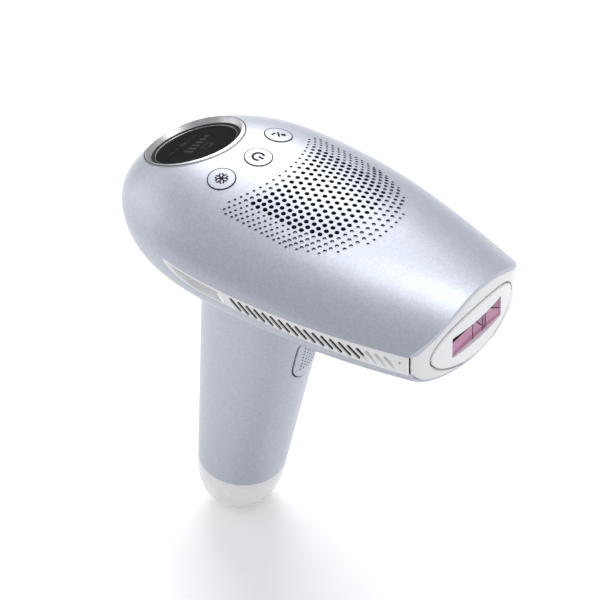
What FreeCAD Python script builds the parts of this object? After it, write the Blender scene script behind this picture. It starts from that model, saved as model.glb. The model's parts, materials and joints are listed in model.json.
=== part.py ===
"""Pistol-shaped IPL hair remover: a rounded head that carries the flash window, on a leaning handle.

Millimetres.  The model is worked out in a head frame (X forward to the window, Y to the left, Z up,
zero height near the seam of the head) and is moved at the end so that the origin of the part
is the mouth of the power inlet, under the handle.
"""
import FreeCAD, Part
import math
import os

V = FreeCAD.Vector
X_AXIS = V(1, 0, 0)
Y_AXIS = V(0, 1, 0)
Z_AXIS = V(0, 0, 1)

# ---------------------------------------------------------------- driving dimensions
HEAD_LENGTH = 162.3            # rear tip to window face
HEAD_HALF_WIDTH = 49.6         # at the widest station
WIDEST_AT = 71.5
FRONT_HALF_WIDTH = 34.2
PLAN_ROUNDNESS = 2.29          # exponent of the rear plan outline
PLAN_TAPER = 1.96              # exponent of the forward taper
CROWN = 26.2                   # height of the top shell over the seam
CROWN_AT = 48.6
CROWN_FRONT = 15.5
CROWN_ROUNDNESS = 1.79
CROWN_TAPER = 1.69
SECTION_POWER = 2.08           # cross-section exponent of the top shell
EDGE_REAR = 0.5                # how the top shell meets the side: 0.5 upright, 1 slanting
EDGE_FRONT = 0.9
EDGE_FROM = 89.0
BELLY = 25.0                   # depth of the lower shell under the seam
BELLY_RISE = 6.2               # the belly is this much shallower at the window
BELLY_POWER = 2.06
SEAM_REAR = 4.67               # seam height at the rear tip
SEAM_SLOPE = 0.0539            # the seam runs gently down to the window
WALL = 2.2
GAP = 0.3                      # visible gap round pieces that move
FIT = 0.1                      # gap between pieces that stay put

STRIP_TIP = 45.7               # rear tip of the side strip
STRIP_LOW = 66.0               # the strip has its full height from here on
STRIP_HEIGHT = 5.5
STRIP_GROWTH = 3.2             # extra height 80 mm further forward
NOSE_SEAM = 154.8              # where the side strip ends and the lamp cap begins
LIP = 2.2                      # the top shell's front lip over the lamp cap
BAND = 1.5                     # the lower shell's thin band under the lamp cap

FACE_RADIUS = 112.0            # the window face is a gentle cylinder
CORNER_DEPTH = 2.6             # its outer corners round back this far
CORNER_AT = 35.5
CORNER_POWER = 16
LIP_PROUD = 0.2                # the top shell's edge stands over the window face
LIP_DEPTH = 7.5                # and rounds back this far at its corners
LIP_CORNER_AT = 36.3
LIP_POWER = 4.2
PLATE_HALF_WIDTH = 27.0        # oval contact plate
PLATE_HALF_HEIGHT = 11.4
WINDOW_Z = -9.3
WINDOW_WIDTH = 33.0
WINDOW_HEIGHT = 9.5
PLATE_BACK = 154.5
PLATE_GROOVE = 0.9             # width and depth of the step round the plate
PLATE_EDGE = 0.6               # the plate's edge is rounded
GLASS_FRONT = 160.8            # front of the window glass
GLASS_THICK = 2.0
LAMP_X = 151.0
LAMP_RADIUS = 2.2
BOWL_BACK = 147.1              # deepest line of the reflector
CARTRIDGE_REAR = 128.0
CARTRIDGE_HALF_WIDTH = 25.4
CARTRIDGE_HALF_HEIGHT = 9.9

VENT_CENTRE = 90.0             # the fan's axis and the vents' round front edge
VENT_RADIUS = 31.2
VENT_REAR = 62.3               # no dimple lies behind this
VENT_ROWS = 18
VENT_FIRST_ROW = 70.8
VENT_ROW_PITCH = 2.9
VENT_ARC = 46.3                # radius of each row
VENT_HALF_WIDTH = 30.8
VENT_PER_SIDE = 12             # holes from the middle of a row to its end
VENT_SPREAD = 1.49             # how much wider the holes are spaced in the middle of a row
OPEN_ROWS = (2, 13)            # rows with open holes
OPEN_HALF_WIDTH = 22.4
OPEN_CENTRE = 92.0
OPEN_LENGTH = 22.5
VENT_HOLE = 1.0                # radius of an open hole
DIMPLE = 0.85                  # radius of a blind dimple inside the pattern
EDGE_DIMPLE = 0.6              # and along its edge
DIMPLE_DEPTH = 0.7

SLOT_COUNT = 19
SLOT_OPEN = 15                 # the last ones are blind
SLOT_FIRST = 83.0
SLOT_PITCH = 3.62
SLOT_RUN = 5.2
SLOT_WIDTH = 1.5
SLOT_SKIN = 0.6                # the strip is this thin where the slots go through
SCREEN = 0.8                   # thickness of the dust screen behind the slots
SCREEN_START = 79.6
SCREEN_END = 137.6
SCREEN_MARGIN = 0.5

# badge plate, rear tip first and clockwise: station, drop under the seam
BADGE_CORNERS = [(50.0, 0.8), (74.4, 0.9), (77.8, 4.9), (66.0, 5.0), (56.5, 3.7)]

BUTTON_RADIUS = 5.35
BUTTON_GAP = 0.4
BUTTON_TRAVEL = 0.8
SIDE_BUTTON_X = 53.3
SIDE_BUTTON_Y = 18.3
MIDDLE_BUTTON_X = 57.4

DISPLAY_X = 25.9
DISPLAY_Z = 20.4
DISPLAY_TILT = -19.9           # degrees, looking up and back at the user
DISPLAY_RADIUS = 18.3
BEZEL_RADIUS = 21.4

HANDLE_TOP = V(60.5, 0, -25.0)
HANDLE_END = V(43.6, 0, -132.4)
HANDLE_TOP_DEPTH = 28.7        # semi-axis fore and aft
HANDLE_TOP_WIDTH = 23.0        # semi-axis across
HANDLE_END_DEPTH = 18.6
HANDLE_END_WIDTH = 20.0
HANDLE_FILLET = 2.5
CAP_DEPTH = 24.1               # white cap under the handle, as a full dome
CAP_HEIGHT = 23.6              # where its flat bottom cuts the dome
CAP_POWER = 0.63
CAP_HOLLOW = 0.885             # width of the cap's hollow over the cap's own

TRIGGER_TOP = 18.0             # along the handle, from its top
TRIGGER_END = 44.0
TRIGGER_HALF_WIDTH = 7.9
TRIGGER_CORNER = 7.8           # nearly full round ends
TRIGGER_GAP = 0.7
TRIGGER_TRAVEL = 2.0
TRIGGER_STEM = 31.0            # where the trigger's stem stands, along the handle
TRIGGER_SEAT = 14.0            # switch, behind the handle's front
TRIGGER_FLANGE_BACK = 3.6      # back of the flange, behind the handle's surface
SPRING_FOOT = 4.4              # ahead of the switch
SPRING_LENGTH = 4.9
SPRING_RADIUS = 2.9
SPRING_WIRE = 0.3              # radius of the wire
SPRING_TURNS = 4
GRIP_ROWS = 9
GRIP_COLUMNS = 6
GRIP_PITCH = 1.8
GRIP_DIMPLE = 0.5
INLET_RADIUS = 2.85
INLET_DEPTH = 9.5
FAN_Z = 3.4                    # underside of the fan
KEYPAD_Z = 10.6

SIDE_SCREWS = (60.0, 71.0)
SCREW_DROP = 2.75              # side screws under the seam
SCREW_HEAD = 1.4

BLOCK_END = 168.0              # the head blocks run past the window and are trimmed
REAR_STATIONS = 16
FRONT_STATIONS = 13
SECTION_STEPS = 18

handle_axis = (HANDLE_END - HANDLE_TOP).normalize()
handle_forward = V(-handle_axis.z, 0, handle_axis.x)
handle_length = (HANDLE_END - HANDLE_TOP).Length
inlet_mouth = HANDLE_END + handle_axis * CAP_HEIGHT
parts = {}


# ---------------------------------------------------------------- shape of the head
def seam(x):
    return SEAM_REAR - SEAM_SLOPE * x


def rounded_then_tapered(x, start, peak_at, peak, end, roundness, taper):
    """A bulge that rises from zero at start to its peak, then eases down to end at the window."""
    if x < peak_at:
        away = (peak_at - x) / (peak_at - start)
        return peak * max(0.0, 1 - away ** roundness) ** (1 / roundness)
    return peak - (peak - end) * ((x - peak_at) / (HEAD_LENGTH - peak_at)) ** taper


def half_width(x, inset=0.0):
    return rounded_then_tapered(x, inset, WIDEST_AT, HEAD_HALF_WIDTH - inset,
                                FRONT_HALF_WIDTH - inset, PLAN_ROUNDNESS, PLAN_TAPER)


def crown_height(x, inset=0.0):
    return rounded_then_tapered(x, inset, CROWN_AT, CROWN - inset,
                                CROWN_FRONT - inset, CROWN_ROUNDNESS, CROWN_TAPER)


def crown_at(x, y, inset=0.0):
    """Height of the top shell's surface over a point of the plan."""
    blend = min(1.0, max(0.0, (x - EDGE_FROM) / (HEAD_LENGTH - EDGE_FROM)))
    power = EDGE_REAR + (EDGE_FRONT - EDGE_REAR) * blend ** 1.5
    across = min(1.0, abs(y) / max(half_width(x, inset), 0.001))
    return seam(x) + crown_height(x, inset) * (1 - across ** SECTION_POWER) ** power


def strip_height(x):
    """Height of the upright side of the head, which the side strip covers."""
    full = STRIP_HEIGHT + STRIP_GROWTH * max(0.0, (x - 75.0) / 80.0) ** 1.3
    rise = min(1.0, x / 60.0)
    return full * (1 - (1 - rise) ** 2)


def belly_depth(x):
    blend = min(1.2, max(0.0, (x - WIDEST_AT) / (HEAD_LENGTH - WIDEST_AT)))
    return BELLY - BELLY_RISE * blend ** 2.5


def stations(inset):
    """Section places along the head, close together where the rear end rounds off."""
    rear = [WIDEST_AT - (WIDEST_AT - inset) * math.cos(0.5 * math.pi * i / REAR_STATIONS)
            for i in range(1, REAR_STATIONS)]
    step = (BLOCK_END - WIDEST_AT) / FRONT_STATIONS
    return [inset] + rear + [WIDEST_AT + step * i for i in range(FRONT_STATIONS + 1)]


def crown_net(inset):
    net = []
    for x in stations(inset):
        width = half_width(x, inset)
        row = []
        for i in range(SECTION_STEPS + 1):
            y = width * math.cos(math.pi * i / SECTION_STEPS)
            row.append(V(x, y, crown_at(x, y, inset) if 0 < i < SECTION_STEPS else seam(x)))
        net.append(row)
    return net


def hull_net(inset):
    net = []
    for x in stations(inset):
        width = half_width(x, inset)
        side = strip_height(x)
        fade = min(1.0, max(0.0, (x - inset) / 30.0)) ** 0.5
        depth = max(0.0, belly_depth(x) - side - inset) * fade
        side *= 1 if x > inset else 0
        row = [V(x, width, seam(x)), V(x, width, seam(x) - side / 2)]
        for i in range(SECTION_STEPS + 1):
            across = math.cos(math.pi * i / SECTION_STEPS)
            drop = max(0.0, 1 - abs(across) ** BELLY_POWER) ** (1 / BELLY_POWER)
            row.append(V(x, width * across, seam(x) - side - depth * drop))
        row += [V(x, -width, seam(x) - side / 2), V(x, -width, seam(x))]
        net.append(row)
    return net


def clamped_knots(count):
    inner = count - 4
    return [4] + [1] * inner + [4], [float(i) for i in range(inner + 2)]


def closed_block(net):
    """Solid under a smooth cubic skin, closed by the flat seam face and a flat front face."""
    u_mults, u_knots = clamped_knots(len(net))
    v_mults, v_knots = clamped_knots(len(net[0]))
    skin = Part.BSplineSurface()
    skin.buildFromPolesMultsKnots(net, u_mults, v_mults, u_knots, v_knots, False, False, 3, 3)
    face = skin.toShape()
    edges = [e for e in face.Edges if not e.Degenerated]
    front = [e for e in edges if e.BoundBox.XMin > BLOCK_END - 0.01][0]
    sides = [e for e in edges if e.BoundBox.XMin < BLOCK_END / 2]
    bar = Part.makeLine(net[-1][0], net[-1][-1])
    lid = Part.Face(Part.Wire(Part.__sortEdges__(sides + [bar])))
    nose = Part.Face(Part.Wire(Part.__sortEdges__([front, bar])))
    return solid_from([face, lid, nose])


def solid_from(faces):
    shell = Part.Shell(faces)
    shell.sewShape()
    solid = Part.Solid(shell if shell.ShapeType == "Shell" else shell.Shells[0])
    if solid.Volume < 0:
        solid.reverse()
    return solid


# ---------------------------------------------------------------- small shape helpers
def box(x0, x1, y0, y1, z0, z1):
    return Part.makeBox(x1 - x0, y1 - y0, z1 - z0, V(x0, y0, z0))


def rod(radius, start, axis, length):
    return Part.makeCylinder(radius, length, start, axis)


def tube(outer, inner, start, axis, length):
    return rod(outer, start, axis, length).cut(rod(inner, start, axis, length))


def smooth_curve(points):
    curve = Part.BSplineCurve()
    curve.interpolate(points)
    return curve.toShape()


def all_of(shapes):
    return shapes[0].multiFuse(shapes[1:]) if len(shapes) > 1 else shapes[0]


def biggest(shape):
    return max(shape.Solids, key=lambda s: s.Volume)


def mirrored(shape):
    return shape.mirror(V(0, 0, 0), Y_AXIS)


def on_handle(along, forward=0.0, across=0.0):
    """A point given along the handle from its top, forward of its axis and across it."""
    return HANDLE_TOP + handle_axis * along + handle_forward * forward + V(0, across, 0)


def handle_size(along, inset=0.0):
    """Semi-axes of the handle's oval section, fore and aft and across."""
    share = along / handle_length
    depth = HANDLE_TOP_DEPTH + (HANDLE_END_DEPTH - HANDLE_TOP_DEPTH) * share - inset
    width = HANDLE_TOP_WIDTH + (HANDLE_END_WIDTH - HANDLE_TOP_WIDTH) * share - inset
    return depth, width


def stretched(shape, along_x, along_y):
    return shape.transformGeometry(FreeCAD.Matrix(along_x, 0, 0, 0, 0, along_y, 0, 0,
                                                  0, 0, 1, 0, 0, 0, 0, 1))


def to_handle(shape, origin):
    """From a frame with X forward and Z down the handle, to a point on the handle."""
    moved = shape.copy()
    moved.transformShape(FreeCAD.Matrix(handle_forward.x, 0, handle_axis.x, origin.x,
                                        0, -1, 0, 0,
                                        handle_forward.z, 0, handle_axis.z, origin.z,
                                        0, 0, 0, 1))
    return moved


def handle_block(start, end, inset=0.0):
    """The handle between two stations; its sides taper straight."""
    rings = []
    for along in (start, end):
        circle = Part.makeCircle(1.0).toNurbs()
        ring = to_handle(stretched(circle, *handle_size(along, inset)), on_handle(along))
        rings.append(Part.Wire(ring.Edges))
    return Part.makeLoft(rings, True, True)


def block_behind(front_x, full_from):
    """Tall block behind a front surface that is upright and curved in plan; full width up to a station."""
    half = 44.0
    steps = 28
    floor = -170.0
    height = 230.0
    points = []
    for i in range(steps + 1):
        y = half * (2.0 * i / steps - 1)
        points.append(V(front_x(abs(y)), y, floor))
    back = [points[-1], V(-20, half, floor), V(-20, -half, floor), points[0]]
    lines = [Part.makeLine(a, b) for a, b in zip(back[:-1], back[1:])]
    block = Part.Face(Part.Wire([smooth_curve(points)] + lines)).extrude(Z_AXIS * height)
    return block.fuse(box(-20, full_from, -60, 60, floor, floor + height))


def plan_front(offset, reach=0.0):
    """Block behind a surface that follows the window face; reach rounds its outer corners."""
    def front_x(y):
        corner = CORNER_DEPTH * min(2.0, (y / CORNER_AT) ** CORNER_POWER)
        return HEAD_LENGTH + offset - y * y / (2 * FACE_RADIUS) - reach * corner
    return block_behind(front_x, NOSE_SEAM - 4)


def lip_x(y):
    """The top shell's front edge in plan, whose corners round back."""
    return HEAD_LENGTH + LIP_PROUD - LIP_DEPTH * min(2.0, (y / LIP_CORNER_AT) ** LIP_POWER)


def shell_front():
    return block_behind(lip_x, NOSE_SEAM - 2)


def oval(half_width_y, half_height, x0, x1):
    """Upright oval block about the window's axis."""
    ring = Part.Ellipse(V(x0, 0, WINDOW_Z), half_width_y, half_height).toShape()
    ring.rotate(V(x0, 0, WINDOW_Z), Z_AXIS, 90)
    ring.rotate(V(x0, 0, WINDOW_Z), Y_AXIS, 90)
    ring.rotate(V(x0, 0, WINDOW_Z), X_AXIS, 0 if ring.BoundBox.YLength > ring.BoundBox.ZLength else 90)
    return Part.Face(Part.Wire(ring)).extrude(V(x1 - x0, 0, 0))


def window_block(width, height, x0, x1):
    return box(x0, x1, -width / 2, width / 2, WINDOW_Z - height / 2, WINDOW_Z + height / 2)


def strip_outline(front, top_gap=0.0, margin=0.0):
    """Side view of the strip: a blade that starts at a tip on the seam and grows forward."""
    lower = []
    steps = 8
    full = strip_height(STRIP_LOW)
    for i in range(steps):
        swing = 0.5 * math.pi * i / steps
        x = STRIP_LOW - (STRIP_LOW - STRIP_TIP) * math.cos(swing)
        lower.append(V(x, -70, seam(x) - full * math.sin(swing)))
    for i in range(9):
        x = STRIP_LOW + (BLOCK_END - STRIP_LOW) * i / 8
        lower.append(V(x, -70, seam(x) - strip_height(x) + margin))
    tip = lower[0]
    end = lower[-1]
    high = V(BLOCK_END, -70, seam(BLOCK_END) - top_gap)
    edges = [smooth_curve(lower), Part.makeLine(end, high)]
    if top_gap < 0:
        rear = V(STRIP_TIP, -70, seam(STRIP_TIP) - top_gap)
        edges += [Part.makeLine(high, rear), Part.makeLine(rear, tip)]
    else:
        edges.append(Part.makeLine(high, tip))
    blade = Part.Face(Part.Wire(edges)).extrude(V(0, 140, 0))
    return blade.common(box(STRIP_TIP - 1, front, -70, 70, -60, 60))


# ---------------------------------------------------------------- top shell
def crown_normal(x, y):
    step = 0.5
    slope_x = (crown_at(x + step, y) - crown_at(x - step, y)) / (2 * step)
    slope_y = (crown_at(x, y + step) - crown_at(x, y - step)) / (2 * step)
    return V(-slope_x, -slope_y, 1).normalize()


def button_places():
    return {"cool": (SIDE_BUTTON_X, -SIDE_BUTTON_Y), "power": (MIDDLE_BUTTON_X, 0.0),
            "level": (SIDE_BUTTON_X, SIDE_BUTTON_Y)}


def vent_row(row):
    """Plan places of one row: an arc, with its holes spaced wider in the middle; odd rows are staggered."""
    centre_x = VENT_FIRST_ROW + VENT_ROW_PITCH * row
    stagger = 0.5 * (row % 2)
    count = VENT_PER_SIDE + stagger
    places = []
    for k in range(VENT_PER_SIDE + 1):
        share = (k + stagger) / count
        y = VENT_HALF_WIDTH * share * (VENT_SPREAD - (VENT_SPREAD - 1) * share)
        x = centre_x - VENT_ARC + math.sqrt(VENT_ARC ** 2 - y ** 2)
        in_front = x > VENT_CENTRE and math.hypot(x - VENT_CENTRE, y) > VENT_RADIUS
        if x > VENT_REAR and not in_front:
            places += [(x, y), (x, -y)] if y > 0 else [(x, y)]
    return places


def vent_points():
    """Every vent hole: its place in plan, its radius and whether it goes through."""
    holes = []
    for row in range(VENT_ROWS):
        places = vent_row(row)
        edge = max(abs(y) for _, y in places) - 0.1
        for x, y in places:
            ahead = max(0.0, x - OPEN_CENTRE) / OPEN_LENGTH
            inside = math.hypot(ahead, y / OPEN_HALF_WIDTH) < 1
            if inside and OPEN_ROWS[0] <= row <= OPEN_ROWS[1]:
                holes.append((x, y, VENT_HOLE, True))
            elif row in (0, VENT_ROWS - 1) or abs(y) > edge or x < OPEN_CENTRE and abs(y) > OPEN_HALF_WIDTH:
                holes.append((x, y, EDGE_DIMPLE, False))
            else:
                holes.append((x, y, DIMPLE, False))
    return holes


def display_frame():
    tilt = math.radians(DISPLAY_TILT)
    return V(DISPLAY_X, 0, DISPLAY_Z), V(math.sin(tilt), 0, math.cos(tilt))


def top_shell(outer_crown, inner_crown):
    shell = outer_crown.cut(inner_crown)
    shell = biggest(shell.common(shell_front()))
    centre, up = display_frame()
    tools = [rod(BEZEL_RADIUS, centre - up * 5.5, up, 20)]
    for x, y in button_places().values():
        top = V(x, y, crown_at(x, y))
        normal = crown_normal(x, y)
        tools.append(rod(BUTTON_RADIUS + BUTTON_GAP, top - normal * 6, normal, 12))
    for x, y, radius, is_open in vent_points():
        top = V(x, y, crown_at(x, y))
        normal = crown_normal(x, y)
        depth = 5.0 if is_open else DIMPLE_DEPTH
        tools.append(rod(radius, top - normal * depth, normal, depth + 3))
    return biggest(shell.cut(tools))


def top_bosses_under(lid):
    """The lid with its four screw bosses."""
    ceiling = closed_block(crown_net(0.5)).fuse(box(0, 150, -60, 60, -20, 6))
    for x, y in top_bosses():
        post = rod(3.0, V(x, y, -9.9), Z_AXIS, 60).cut(rod(1.0, V(x, y, -20), Z_AXIS, 34))
        lid = lid.fuse(post.common(ceiling))
    return biggest(lid)


# ---------------------------------------------------------------- lower shells and side strips
def lower_shells(outer_hull, inner_hull):
    """The belly and handle in one wall, parted into a left and a right half."""
    outside = outer_hull.fuse(handle_block(-12, handle_length))
    joint = [e for e in outside.Edges if e.BoundBox.ZMax < -15 and e.BoundBox.ZMin > -32
             and e.BoundBox.YLength > 20]
    try:
        outside = outside.makeFillet(HANDLE_FILLET, joint)
    except Part.OCCError:
        print("handle fillet left out")
    hollow = inner_hull.fuse(handle_block(-20, handle_length + 1, WALL))
    wall = outside.cut(hollow)
    wall = wall.cut(strip_outline(BLOCK_END, -8))
    wall = wall.common(plan_front(-0.9, 1.0))
    wall = wall.cut(trigger_block(TRIGGER_GAP, WALL + 3.0, 2.0))
    left = box(-10, 180, 0, 60, -170, 20)
    right = box(-10, 180, -60, 0, -170, 20)
    return [biggest(wall.common(side)) for side in (left, right)]


def slot_cutter(index):
    """Slanted slot with round ends, cut across the strip."""
    top_x = SLOT_FIRST - SLOT_RUN / 2 + SLOT_PITCH * index
    middle_x = top_x + SLOT_RUN / 2
    middle_z = seam(middle_x) - 0.57 * strip_height(middle_x)
    rise = 4.4 + 0.013 * (middle_x - 80)
    length = math.hypot(SLOT_RUN, rise)
    angle = math.degrees(math.atan2(rise, SLOT_RUN))
    half = (length - SLOT_WIDTH) / 2
    bar = box(-half, half, 0, 30, -SLOT_WIDTH / 2, SLOT_WIDTH / 2)
    ends = [rod(SLOT_WIDTH / 2, V(side * half, 0, 0), Y_AXIS, 30) for side in (-1, 1)]
    slot = bar.multiFuse(ends)
    slot.rotate(V(0, 0, 0), Y_AXIS, angle)
    wall_y = half_width(middle_x)
    start = wall_y - 12 if index < SLOT_OPEN else wall_y - 0.7
    slot.translate(V(middle_x, start, middle_z))
    return slot


def badge_outline():
    """Side view of the badge plate: a leaf with a pointed rear tip and a slanted front."""
    rear, front_top, front_low, belly, low_mid = [
        V(x, 0, seam(x) - drop) for x, drop in BADGE_CORNERS]
    edges = [Part.makeLine(rear, front_top), Part.makeLine(front_top, front_low),
             smooth_curve([front_low, belly, low_mid, rear])]
    return Part.Face(Part.Wire(edges)).extrude(V(0, 60, 0))


def side_parts(outer_hull, inner_hull):
    """Left-hand side strip with its badge plate, its dust screen and the two screws under the badge."""
    blade = strip_outline(NOSE_SEAM - FIT).common(box(0, 180, 0, 70, -40, 20))
    skin = outer_hull.common(blade)
    strip = biggest(skin.cut(inner_hull))
    pad = box(53, 77, 30, 60, -5, 5).common(skin)
    shrunk = closed_block(hull_net(WALL + 1.8))
    strip = biggest(strip.fuse(biggest(pad.common(inner_hull).cut(shrunk))))
    badge = biggest(badge_outline().common(skin).cut(closed_block(hull_net(0.8))))
    slots = [slot_cutter(i) for i in range(SLOT_COUNT)]
    dot = rod(0.5, V(151.6, half_width(151.6) - 0.8, seam(151.6) - 3.4), Y_AXIS, 4)
    window = slot_window(SCREEN_START, SCREEN_END, SCREEN_MARGIN)
    behind_skin = closed_block(hull_net(SLOT_SKIN))
    strip = strip.cut(slots + [badge, dot, window.common(behind_skin)])
    screen = slot_window(SCREEN_START + FIT, SCREEN_END - FIT, SCREEN_MARGIN + FIT)
    screen = screen.common(closed_block(hull_net(SLOT_SKIN + 0.05)))
    screen = biggest(screen.cut(closed_block(hull_net(SLOT_SKIN + 0.05 + SCREEN))))
    screws = []
    for x in SIDE_SCREWS:
        seat = V(x, half_width(x) - 1.0, seam(x) - SCREW_DROP)
        strip = strip.cut(rod(SCREW_HEAD + 0.1, seat - Y_AXIS * 1.1, Y_AXIS, 3).fuse(
            rod(1.15, seat - Y_AXIS * 12, Y_AXIS, 12)))
        head = rod(SCREW_HEAD, seat - Y_AXIS * 1.1, Y_AXIS, 0.9)
        cross = box(-0.9, 0.9, -0.5, 0.6, -0.2, 0.2).fuse(box(-0.2, 0.2, -0.5, 0.6, -0.9, 0.9))
        cross.translate(seat - Y_AXIS * 0.2)
        screws.append(head.cut(cross).fuse(rod(1.0, seat - Y_AXIS * 9, Y_AXIS, 8)))
    return biggest(strip), badge, screen, screws


def slot_window(start, end, margin):
    """Upright region of the side that holds the slots, a margin inside the strip's top and bottom."""
    steps = 8
    lower = []
    upper = []
    for i in range(steps + 1):
        x = start + (end - start) * i / steps
        lower.append(V(x, 30, seam(x) - strip_height(x) + margin))
        upper.append(V(x, 30, seam(x) - margin))
    edges = [smooth_curve(lower), smooth_curve(upper),
             Part.makeLine(lower[0], upper[0]), Part.makeLine(lower[-1], upper[-1])]
    return Part.Face(Part.Wire(Part.__sortEdges__(edges))).extrude(Y_AXIS * 30)


# ---------------------------------------------------------------- handle pieces
def end_cap():
    """White domed cap, with a collar that plugs into the handle and the power inlet's bore."""
    dome = turned_cap(CAP_DEPTH, 1.0)
    hollow = turned_cap(CAP_DEPTH - WALL, CAP_HOLLOW)
    plug = handle_size(handle_length, WALL + FIT)
    collar = oval_rod(*plug, -5.0, 1.2).cut(oval_rod(plug[0] - 1.6, plug[1] - 1.6, -6, 2.0))
    tower = rod(5.6, V(0, 0, CAP_HEIGHT - 13), Z_AXIS, 12.0)
    mouth = rod(INLET_RADIUS + 1.2, V(0, 0, 0), Z_AXIS, 40)
    socket = rod(4.5, V(0, 0, CAP_HEIGHT - 30), Z_AXIS, 28.8)
    body = biggest(dome.cut(hollow).multiFuse([collar, tower]).cut([mouth, socket]))
    return biggest(to_handle(body, HANDLE_END))


def turned_cap(dome_depth, width):
    """Dome under the handle's end with a flat bottom; width 1 is the outside."""
    steps = 14
    top = math.asin(CAP_HEIGHT / CAP_DEPTH)
    profile = []
    for i in range(steps + 1):
        angle = top * (1 - (1 - i / steps) ** 1.6)
        profile.append(V(width * math.cos(angle) ** CAP_POWER, 0, dome_depth * math.sin(angle)))
    last = profile[-1]
    floor = Part.makeLine(last, V(0, 0, last.z))
    spine = Part.makeLine(V(0, 0, last.z), V(0, 0, 0))
    lid = Part.makeLine(V(0, 0, 0), profile[0])
    section = Part.Face(Part.Wire([smooth_curve(profile), floor, spine, lid]))
    turned = section.revolve(V(0, 0, 0), Z_AXIS, 360)
    return stretched(turned, HANDLE_END_DEPTH, HANDLE_END_WIDTH)


def oval_rod(depth, width, start, end):
    disc = Part.Face(Part.Wire(Part.makeCircle(1.0, V(0, 0, start))))
    return stretched(disc, depth, width).extrude(V(0, 0, end - start))


def power_inlet():
    """Barrel socket: a body with a round bore that opens at the bottom of the cap."""
    body = rod(4.4, V(0, 0, CAP_HEIGHT - 13), Z_AXIS, 11.7)
    nose = rod(INLET_RADIUS + 1.1, V(0, 0, CAP_HEIGHT - 2), Z_AXIS, 2)
    bore = rod(INLET_RADIUS, V(0, 0, CAP_HEIGHT - INLET_DEPTH), Z_AXIS, INLET_DEPTH + 1)
    tags = [box(x - 0.25, x + 0.25, -1, 1, CAP_HEIGHT - 16.5, CAP_HEIGHT - 13) for x in (-2.2, 2.2)]
    return to_handle(body.fuse(nose).cut(bore).multiFuse(tags), HANDLE_END)


def trigger_block(grow, depth_in, depth_out):
    """Rounded panel region on the front of the handle, between two depths of its wall."""
    half = TRIGGER_HALF_WIDTH + grow
    span = box(0, 60, -half, half, TRIGGER_TOP - grow, TRIGGER_END + grow)
    span = span.makeFillet(TRIGGER_CORNER + grow, [e for e in span.Edges if e.BoundBox.XLength > 50])
    outside = handle_block(-2, handle_length, -depth_out)
    inside = handle_block(-4, handle_length + 2, depth_in)
    return biggest(to_handle(span, HANDLE_TOP).common(outside).cut(inside))


def trigger_button():
    """Press panel with rows of grip dimples, a flange that keeps it in, and a stem to its switch."""
    face = trigger_block(0, TRIGGER_FLANGE_BACK, 0.25)
    flange = trigger_block(TRIGGER_GAP + 0.9, TRIGGER_FLANGE_BACK, -(WALL + GAP))
    middle = (TRIGGER_TOP + TRIGGER_END) / 2
    dimples = []
    for row in range(GRIP_ROWS):
        for column in range(GRIP_COLUMNS):
            along = middle + GRIP_PITCH * (row - (GRIP_ROWS - 1) / 2)
            across = GRIP_PITCH * (column - (GRIP_COLUMNS - 1) / 2)
            surface, normal = handle_front(along, across, 0.25)
            dimples.append(rod(GRIP_DIMPLE, surface - normal * 0.35, normal, 2))
    depth = handle_size(TRIGGER_STEM)[0]
    stem = rod(2.0, on_handle(TRIGGER_STEM, depth - TRIGGER_SEAT + 2.9), handle_forward, 8.0)
    return biggest(face.fuse(flange).cut(dimples).fuse(stem))


def handle_front(along, across, proud):
    """Point and outward normal on the front of the handle."""
    depth, width = handle_size(along, -proud)
    swing = math.asin(across / width)
    normal = handle_forward * (math.cos(swing) / depth) + V(0, math.sin(swing) / width, 0)
    return on_handle(along, depth * math.cos(swing), across), normal.normalize()


def return_spring(start):
    """Coil of round wire along the trigger's stem."""
    helix = Part.makeHelix(SPRING_LENGTH / SPRING_TURNS, SPRING_LENGTH, SPRING_RADIUS)
    ring = Part.Wire(Part.makeCircle(SPRING_WIRE, V(SPRING_RADIUS, 0, 0), Y_AXIS))
    coil = Part.Wire(helix).makePipeShell([ring], True, True)
    coil.Placement = FreeCAD.Placement(start, FreeCAD.Rotation(Z_AXIS, handle_forward))
    return coil


def trigger_group():
    """Return spring round the trigger's stem, the switch behind it and the bracket they bear on."""
    depth = handle_size(TRIGGER_STEM)[0]
    seat = on_handle(TRIGGER_STEM, depth - TRIGGER_SEAT)
    spring = return_spring(seat + handle_forward * SPRING_FOOT)
    switch = box(-5.5, 0, -3, 3, -6, 6)
    tip = box(0, 0.8, -0.8, 0.8, -1, 1)
    legs = [box(-8.1, -5.5, -0.3, 0.3, z - 0.5, z + 0.5) for z in (-4, 0, 4)]
    plate = box(SPRING_FOOT - 2.1, SPRING_FOOT - 0.5, -20, 20, -10, 10)
    plate = plate.cut(rod(2.4, V(0, 0, 0), X_AXIS, 10))
    plate = to_handle(plate, seat).common(handle_block(0, handle_length, WALL + FIT))
    return spring, to_handle(switch.multiFuse([tip] + legs), seat), plate


# ---------------------------------------------------------------- lamp cartridge
def cap_profile(inset_top, inset_bottom):
    """Front view of the cap: follows the shell's opening with an even gap."""
    upper = []
    lower = []
    steps = 22
    side = half_width(NOSE_SEAM) - 0.2
    for i in range(steps + 1):
        y = side * math.cos(math.pi * i / steps)
        x = lip_x(abs(y)) - LIP_PROUD
        reach = min(1.0, abs(y) / (half_width(x) - inset_top))
        height = (crown_height(x) - inset_top) * (1 - reach ** SECTION_POWER) ** EDGE_FRONT
        upper.append(V(0, y, seam(x) + max(height, 0.0) - 0.02 * abs(y) / side))
        x = HEAD_LENGTH - y * y / (2 * FACE_RADIUS)
        high = strip_height(x)
        reach = min(1.0, abs(y) / (half_width(x) - inset_bottom))
        drop = (belly_depth(x) - high - inset_bottom) * (1 - reach ** BELLY_POWER) ** (1 / BELLY_POWER)
        lower.append(V(0, y, seam(x) - high - max(drop, 0.0)))
    return upper, lower


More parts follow.
